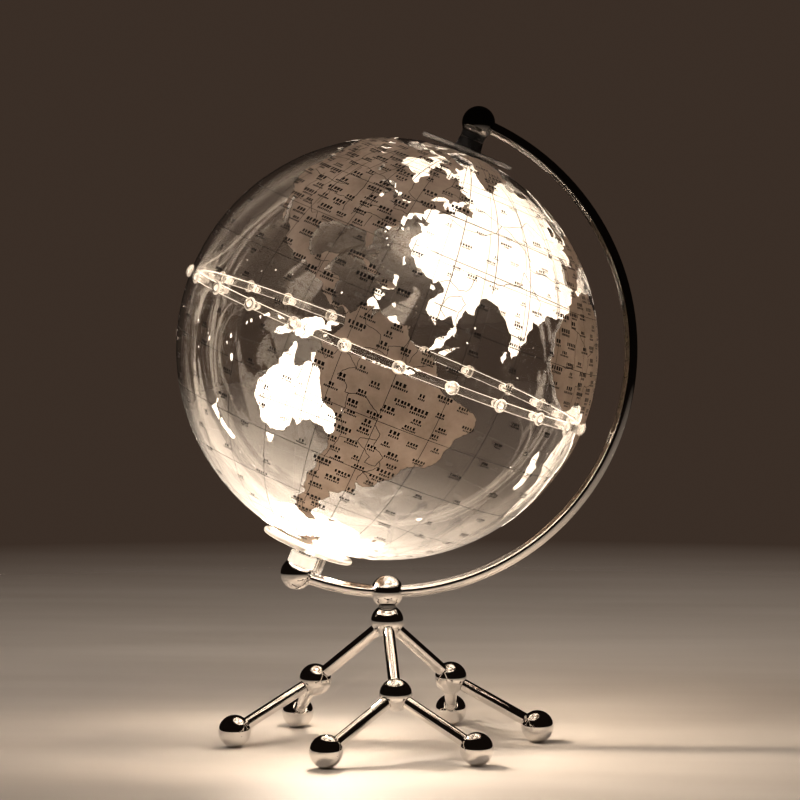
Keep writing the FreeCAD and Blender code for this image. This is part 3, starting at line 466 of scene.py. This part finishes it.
# Small islands: longitude, latitude and rough radius in degrees
ISLANDS = """145,15,.3 144.8,13.4,.35 158.2,6.9,.35 151.8,7.4,.3 163,5.3,.3 134.5,7.4,.35 171,7,.3
 173,1.4,.3 157,-7.5,.6 160,-9.3,.7 161.5,-10.3,.5 155.2,-6.2,.9 167,-15.3,.7 168.4,-17.6,.4
 165.4,-21.4,1.0 178,-17.8,.7 179.2,-16.6,.5 -172.5,-13.6,.5 -175,-21,.35 -149.5,-17.6,.4 -145,-16,.3
 -142,-18,.3 -140,-9,.35 -159.8,-21,.3 -155.5,19.6,.8 -156.5,20.8,.4 -158,21.4,.4 -159.6,22,.35
 -91.1,-.7,.6 -90.2,-.8,.3 -109.4,-27.1,.3 73.5,4,.3 73,1,.3 55.5,-4.7,.3 57.5,-20.3,.4 55.5,-21.1,.4
 43.3,-11.7,.4 92.8,12.5,.6 93.7,7.5,.4 69.5,-49.3,1.0 -16.5,28.3,.5 -14,28.4,.4 -18,28.6,.3 -23.6,15,.4
 -25,17,.35 -25.5,37.8,.4 -28.5,38.5,.35 -17,32.8,.3 -60,-51.8,.9 -58.7,-51.7,.8 -36.8,-54.4,.8
 -78,24.5,.7 -77.3,25.8,.4 -75.5,23.8,.4 -74,22.5,.35 -61.5,16.2,.4 -61,14.6,.35 -61.1,13.5,.3
 -61.3,10.4,.5 -166.5,53.8,.7 -168.6,53.2,.6 -172,52.4,.4 -176.7,51.8,.5 -179,51.4,.4 173,52.8,.4
 -153.5,57.4,1.0 -125.6,49.6,1.2 -132,53.2,.9 -134.5,57.5,.9 148,45.2,.7 150,46.5,.5 155.5,50.3,.5
 152,47.5,.3 128,26.5,.4 129.4,28.3,.4 118.5,9.8,1.1 128,.7,1.0 129.5,-3.1,1.0 126.6,-3.4,.7 121,-8.6,1.1
 118,-8.6,.9 116.3,-8.6,.5 115.2,-8.4,.5 120,-9.8,.9 134.5,-6,.7 131.4,-7.6,.5 106,-2.3,.9 107.8,-2.9,.6
 14,37.5,1.1 9,40,.9 9.1,42.1,.6 25,35.2,.9 33.2,35,.7 3,39.6,.5 18.5,57.5,.5 11.8,55.5,.6 -7,62.1,.4
 -1.3,60.4,.4 -7,57.8,.5 54,12.5,.6 -63.2,46.4,.7 -63,49.5,.8 -84,64.5,2.3 -87,75.3,3.4 -93.5,73.2,2.2
 -99,72.7,2.2 -111,75.5,3.0 -102,76,1.4 -91,79.6,2.2 -99,78.6,1.4 97,79.4,1.8 103,79,1.5 140,75.5,1.6
 148,75.2,1.4 142.5,73.5,.9 -179.5,71.2,1.0 50,80.6,.8 56,80.7,.8 61,80.9,.8 49,69.2,.7 -109.6,69,.2
 -71,-70.9,.9 -45.5,-60.6,.4 -59,-62.1,.6 166.2,-50.7,.3 158.9,-54.6,.3 3.4,-54.4,.3 37.8,-46.9,.3
 -68.5,-54.9,.8 -73.9,-42.8,.7 -75,-49.5,.7 -73.5,-52.8,.7 96.9,-12.1,.3 105.6,-10.5,.3 115.2,5.3,.3
 98.4,7.9,.4 100,9.6,.3 126.2,33.4,.5 129.2,34.3,.3 131,30.4,.4 138.4,38,.4 -82.8,21.7,.5 -81.3,19.3,.3
 -86.9,20.4,.3 -118.4,33.4,.3 -112.5,29,.4 -64.7,32.3,.2"""


def lon_lat(text):
    return [tuple(float(v) for v in pair.split(",")) for pair in text.split()]


def sphere_point(lon, lat):
    a, b = math.radians(lon + PRIME_MERIDIAN), math.radians(lat)
    return Vector((math.cos(b) * math.cos(a), math.cos(b) * math.sin(a), math.sin(b)))


def on_globe(direction, lift_mm):
    """A point over the globe's surface, in the shared frame, from a direction in the globe's own frame."""
    return CENTRE + TO_WORLD @ (direction.normalized() * (GLOBE_R + lift_mm * MM))


def compass(p):
    """The directions east and north at a place."""
    east = Vector((0, 0, 1)).cross(p).normalized()
    return east, p.cross(east)


def jagged(points, depth, amount):
    """A coast between given points, with seeded bays and headlands put in by midpoint displacement."""
    for _ in range(depth):
        finer = []
        for a, b in zip(points, points[1:] + points[:1]):
            side = a.cross(b).normalized()
            middle = (a + b).normalized() + side * (a - b).length * rng.uniform(-amount, amount)
            finer += [a, middle.normalized()]
        points = finer
    return points


def islet(lon, lat, radius):
    """The corners of a small irregular island."""
    middle = sphere_point(lon, lat)
    east, north = compass(middle)
    long_way, stretch = rng.uniform(0, math.pi), rng.uniform(1.2, 2.2)
    u = east * math.cos(long_way) + north * math.sin(long_way)
    v = middle.cross(u)
    corners = []
    for k in range(11):
        a = 2 * math.pi * k / 11
        r = math.radians(radius * 0.62) * rng.uniform(0.5, 1.2)
        corners.append((middle + u * (r * stretch * math.cos(a)) + v * (r * math.sin(a))).normalized())
    return corners


class Land:
    """One land: its outline and inland waters as directions, meshed on a flat chart round its middle."""

    def __init__(self, outline, waters=(), middle=None):
        self.loops = [outline, *waters]
        self.middle = middle or sum(outline, Vector()).normalized()
        self.east = Vector((0, 0, 1)).cross(self.middle)
        self.east = self.east.normalized() if self.east.length > 0.1 else Vector((1, 0, 0))
        self.north = self.middle.cross(self.east)

    def chart(self, p):
        """Lambert's azimuthal equal-area chart."""
        k = math.sqrt(2 / max(1e-9, 1 + self.middle.dot(p)))
        return Vector((k * self.east.dot(p), k * self.north.dot(p)))

    def direction(self, x, y):
        r2 = x * x + y * y
        k = math.sqrt(max(0.0, 1 - r2 / 4))
        return (self.east * (x * k) + self.north * (y * k) + self.middle * (1 - r2 / 2)).normalized()

    def mesh(self, spacing):
        """Directions and triangles that cover the land, its waters left open."""
        points, edges = [], []
        for loop in self.loops:
            first, count = len(points), len(loop)
            edges += [(first + i, first + (i + 1) % count) for i in range(count)]
            points += [self.chart(p) for p in loop]
        reach = max(p.length for p in points)
        rows = int(reach / (spacing * 0.866))
        columns = int(reach / spacing) + 1
        for i in range(-rows, rows + 1):
            for j in range(-columns, columns + 1):
                p = Vector(((j + 0.5 * (i % 2)) * spacing, i * spacing * 0.866))
                if p.length < reach:
                    points.append(p)
        verts, all_edges, faces, _, owners, _ = delaunay_2d_cdt(points, edges, [], 0, 1e-6)
        shores = {frozenset(e) for e, owner in zip(all_edges, owners) if owner}
        beside = {}
        for i, f in enumerate(faces):
            for e in zip(f, f[1:] + f[:1]):
                beside.setdefault(frozenset(e), []).append(i)
        ashore, queue = {}, []
        for e, sides in beside.items():
            if len(sides) == 1 and sides[0] not in ashore:
                ashore[sides[0]] = e in shores
                queue.append(sides[0])
        while queue:
            i = queue.pop()
            f = faces[i]
            for e in map(frozenset, zip(f, f[1:] + f[:1])):
                for other in beside[e]:
                    if other not in ashore:
                        ashore[other] = ashore[i] != (e in shores)
                        queue.append(other)
        return [self.direction(*v) for v in verts], [f for i, f in enumerate(faces) if ashore[i]]


class Print:
    """One printed layer: faces given as directions, put on the globe at a height."""

    def __init__(self, name, finish, lift_mm):
        self.name, self.finish, self.lift = name, finish, lift_mm
        self.verts, self.faces = [], []

    def add(self, directions, faces):
        start = len(self.verts)
        self.verts += directions
        self.faces += [tuple(start + i for i in f) for f in faces]

    def line(self, points, width_mm):
        """A ribbon along directions."""
        half = width_mm / 2 * MM / GLOBE_R
        rows = []
        for i, p in enumerate(points):
            way = points[min(i + 1, len(points) - 1)] - points[max(i - 1, 0)]
            side = p.cross(way)
            if side.length < 1e-9:
                continue
            side = side.normalized() * half
            rows.append((p - side, p + side))
        flat = [p for row in rows for p in row]
        self.add(flat, [(2 * i, 2 * i + 1, 2 * i + 3, 2 * i + 2) for i in range(len(rows) - 1)])

    def block(self, middle, east, north, x, y, wide, high):
        """A small rectangle, in millimetres from a place on the globe."""
        corners = ((x, y), (x + wide, y), (x + wide, y + high), (x, y + high))
        east, north = east * (MM / GLOBE_R), north * (MM / GLOBE_R)
        self.add([(middle + east * cx + north * cy).normalized() for cx, cy in corners], [(0, 1, 2, 3)])

    def make(self):
        """The layer's mesh, with a clear band left along the equator for the hoop."""
        mesh = bpy.data.meshes.new(self.name)
        outward = []
        for f in self.faces:
            a, b, c = (self.verts[i] for i in f[:3])
            outward.append(f if (b - a).cross(c - a).dot(a) > 0 else f[::-1])
        mesh.from_pydata([on_globe(v, self.lift) for v in self.verts], [], outward)
        mesh.validate()
        bm = bmesh.new()
        bm.from_mesh(mesh)
        for side in (1, -1):
            bmesh.ops.bisect_plane(bm, geom=bm.verts[:] + bm.edges[:] + bm.faces[:], plane_no=AXIS,
                                   plane_co=CENTRE + AXIS * (side * EQUATOR_GAP))
        joint = [f for f in bm.faces if abs((f.calc_center_median() - CENTRE).dot(AXIS)) < EQUATOR_GAP]
        bmesh.ops.delete(bm, geom=joint, context="FACES")
        bmesh.ops.delete(bm, geom=[v for v in bm.verts if not v.link_faces], context="VERTS")
        bm.to_mesh(mesh)
        bm.free()
        mesh.shade_smooth()
        mesh.materials.append(finishes[self.finish])
        obj = bpy.data.objects.new(self.name, mesh)
        scene.collection.objects.link(obj)
        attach(obj, "globe")


rng = random.Random(7)
lands = []
water_names = {lake for names in LAKES.values() for lake in names}


def coast(name):
    corners = [sphere_point(*p) for p in lon_lat(COASTS[name])]
    large = max(corners[0].angle(p) for p in corners) > 0.25
    return jagged(corners, 3 if large else 2, 0.17)


for name in COASTS:
    if name == "antarctica":
        hole = [sphere_point(lon, LAMP_HOLE_LATITUDE) for lon in range(0, 360, 5)]
        lands.append(Land(coast(name), [hole], Vector((0, 0, -1))))
    elif name not in water_names:
        lands.append(Land(coast(name), [coast(lake) for lake in LAKES.get(name, ())]))
for triple in lon_lat(ISLANDS):
    lands.append(Land(islet(*triple)))

white = Print("map_land_backing", "ink_white", BACKING_LIFT)
tan = Print("map_land_face", "ink_land", FACE_LIFT)
for land in lands:
    directions, faces = land.mesh(LAND_MESH)
    white.add(directions, faces)
    tan.add(directions, faces)
land_tree = BVHTree.FromPolygons(tan.verts, tan.faces)


def has_land(p):
    return land_tree.ray_cast(Vector(), p)[0] is not None


lines = Print("map_lines", "ink_line", LINE_LIFT)
inner_lines = Print("map_lines_inside", "ink_line", INNER_LINE_LIFT)
for land in lands:
    at_lamp = land.middle.z < -0.99
    for loop in land.loops[:1] if at_lamp else land.loops:
        lines.line(loop + loop[:1], COAST_LINE)
for border in BORDERS.split(";"):
    corners = [sphere_point(*p) for p in lon_lat(border)]
    path = []
    for a, b in zip(corners, corners[1:]):
        path += jagged([a, b], 3, 0.10)[:8]
    lines.line(path + corners[-1:], BORDER_LINE)
    inner_lines.line(path + corners[-1:], INNER_BORDER_LINE)


def parallel(lat, step=2.5):
    return [sphere_point(k * step, lat) for k in range(int(360 / step) + 1)]


def meridian(lon, low=-78.0, high=84.0, step=2.5):
    count = int((high - low) / step) + 2
    return [sphere_point(lon, min(high, low + k * step)) for k in range(count)]


def runs_on_land(path):
    """The stretches of a path that lie on land."""
    run = []
    for p in path:
        if has_land(p):
            run.append(p)
        else:
            yield run
            run = []
    yield run


grid = [meridian(lon) for lon in range(0, 360, 15)] + [parallel(lat) for lat in range(-75, 90, 15)]
for path in grid:
    lines.line(path, GRID_LINE)
    for run in runs_on_land(path):
        if len(run) > 1:
            inner_lines.line(run, INNER_GRID_LINE)


def label(layer, p, size):
    """A row of large plain blocks over a row of small ones, which stand for a place name; no letters."""
    east, north = compass(p)
    large, small = rng.randint(2, 5), rng.randint(4, 9)
    for count, tall, y in ((large, 1.4 * size, 0.0), (small, 0.8 * size, -1.2 * size)):
        x = -0.5 * count * tall
        for _ in range(count):
            layer.block(p, east, north, x, y, tall * rng.uniform(0.5, 0.78), tall)
            x += tall


def is_free(p, room, places):
    """Whether a label at p keeps its room from the labels already placed."""
    east, north = compass(p)
    tall, wide = map(math.radians, room)
    return not any(abs(north.dot(q)) < tall and abs(east.dot(q)) < wide and p.dot(q) > 0 for q in places)


labels = Print("map_labels", "ink_line", LABEL_LIFT)
places = []
for _ in range(LABEL_TRIES):
    z, a = rng.uniform(-0.975, 0.96), rng.uniform(0, 2 * math.pi)
    flat = math.sqrt(1 - z * z)
    p = Vector((flat * math.cos(a), flat * math.sin(a), z))
    ashore = has_land(p)
    if abs(z) < EQUATOR_ROOM or (not ashore and rng.random() < LEFT_OUT_AT_SEA):
        continue
    if not is_free(p, ROOM_ASHORE if ashore else ROOM_AT_SEA, places):
        continue
    label(labels, p, rng.choice(LABEL_SIZES_ASHORE) if ashore else LABEL_SIZE_AT_SEA)
    places.append(p)
    if ashore and rng.random() < (0.8 if z < -0.85 else 0.3):
        label(inner_lines, p, LABEL_SIZE_INSIDE)

for layer in (white, tan, lines, inner_lines, labels):
    layer.make()


# The lamp's light, which turns with the arc

def add_lamp_light(name, kind, power, soft, place):
    """A light that rides on the arc. It lights, but only the LED and its dome are seen."""
    light = bpy.data.lights.new(name, kind)
    light.energy = power
    light.color = (1.0, 0.88, 0.76)
    light.shadow_soft_size = soft
    obj = bpy.data.objects.new(name, light)
    obj.location = place
    obj.visible_camera = False
    obj.visible_transmission = False
    scene.collection.objects.link(obj)
    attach(obj, "arc")
    return light


add_lamp_light("lamp_light", "POINT", 2.45, 6 * MM, CENTRE - AXIS * LAMP_DEPTH)
spill_place = CENTRE - AXIS * SPILL_DEPTH + ACROSS * SPILL_OFFSET
spill = add_lamp_light("lamp_spill", "SPOT", 0.5, 3 * MM, spill_place)          # what leaves the disc
spill.spot_size = math.radians(150)
spill.spot_blend = 0.6


# Floor, world, studio lights, camera

def floor_disc(radius):
    """A plain pale floor that fades out towards its rim."""
    rings, spokes = 24, 96
    verts = [(0, 0, 0)]
    for i in range(1, rings + 1):
        r = radius * (i / rings) ** 1.6
        turns = [2 * math.pi * k / spokes for k in range(spokes)]
        verts += [(r * math.cos(turn), r * math.sin(turn), 0) for turn in turns]
    faces = [(0, 1 + k, 1 + (k + 1) % spokes) for k in range(spokes)]
    for i in range(rings - 1):
        a, b = 1 + i * spokes, 1 + (i + 1) * spokes
        faces += [(a + k, b + k, b + (k + 1) % spokes, a + (k + 1) % spokes) for k in range(spokes)]
    mesh = bpy.data.meshes.new("floor")
    mesh.from_pydata(verts, [], faces)
    obj = bpy.data.objects.new("floor", mesh)
    obj.location.z = -0.1 * MM
    scene.collection.objects.link(obj)
    n = Nodes("floor")
    grain = n.noise(9, detail=6, stretch=(0.4, 2.2, 1))
    surface = n.shader(
        Base_Color=n.colour(grain, (0.62, 0.545, 0.465), (0.70, 0.625, 0.545)),
        Roughness=n.between(grain, 0.5, 0.62),
        Normal=n.bump(n.noise(700, detail=3), 0.05, 0.0002),
    )
    out = n.add("VectorMath", i0=n.add("TexCoord").outputs["Object"], set_operation="LENGTH")
    fade = n.between(out.outputs["Value"], 0.0, 1.0, radius * 0.35, radius)
    mesh.materials.append(n.finish(n.mix(fade, surface, n.add("BsdfTransparent").outputs["BSDF"])))


floor_disc(FLOOR_RADIUS)


def dark_room(name):
    """A dark backdrop, darker still where it is reflected but not refracted."""
    world = bpy.data.worlds.new(name)
    world.use_nodes = True
    tree = world.node_tree
    background = tree.nodes["Background"]
    background.inputs["Color"].default_value = (0.043, 0.028, 0.020, 1)
    path = tree.nodes.new("ShaderNodeLightPath")
    reflected = tree.nodes.new("ShaderNodeMath")
    reflected.operation = "SUBTRACT"
    reflected.use_clamp = True
    dimmer = tree.nodes.new("ShaderNodeMapRange")
    dimmer.inputs["To Min"].default_value = 1.0
    dimmer.inputs["To Max"].default_value = 0.12
    tree.links.new(path.outputs["Is Glossy Ray"], reflected.inputs[0])
    tree.links.new(path.outputs["Is Transmission Ray"], reflected.inputs[1])
    tree.links.new(reflected.outputs["Value"], dimmer.inputs["Value"])
    tree.links.new(dimmer.outputs["Result"], background.inputs["Strength"])
    return world


scene.world = dark_room("studio")
scene.view_settings.view_transform = "Standard"


def softbox(name, place, size, power):
    """A soft studio light aimed at the object; it isn't mirrored in the chrome or the glass."""
    data = bpy.data.lights.new(name, "AREA")
    data.shape = "RECTANGLE"
    data.size, data.size_y = size
    data.energy = power
    data.color = (1.0, 0.94, 0.89)
    obj = bpy.data.objects.new(name, data)
    obj.location = place
    obj.rotation_euler = (Vector((0, 0, 0.15)) - Vector(place)).to_track_quat("-Z", "Y").to_euler()
    obj.visible_glossy = False
    obj.visible_transmission = False
    scene.collection.objects.link(obj)


softbox("key", (-1.1, -1.3, 1.7), (0.9, 0.9), 21.0)
softbox("back", (0.9, 1.5, 1.2), (1.2, 0.7), 10.0)

camera_data = bpy.data.cameras.new("camera")
camera_data.lens = 140.9
camera_data.sensor_width = 36
camera_data.clip_start, camera_data.clip_end = 0.05, 20
camera = bpy.data.objects.new("camera", camera_data)
camera.location = (0.11487, -1.48127, 0.23187)
yaw, pitch = math.radians(-4.20), math.radians(-2.576)
gaze = Vector((math.sin(yaw) * math.cos(pitch), math.cos(yaw) * math.cos(pitch), math.sin(pitch)))
camera.rotation_euler = gaze.to_track_quat("-Z", "Y").to_euler()
scene.collection.objects.link(camera)
scene.camera = camera
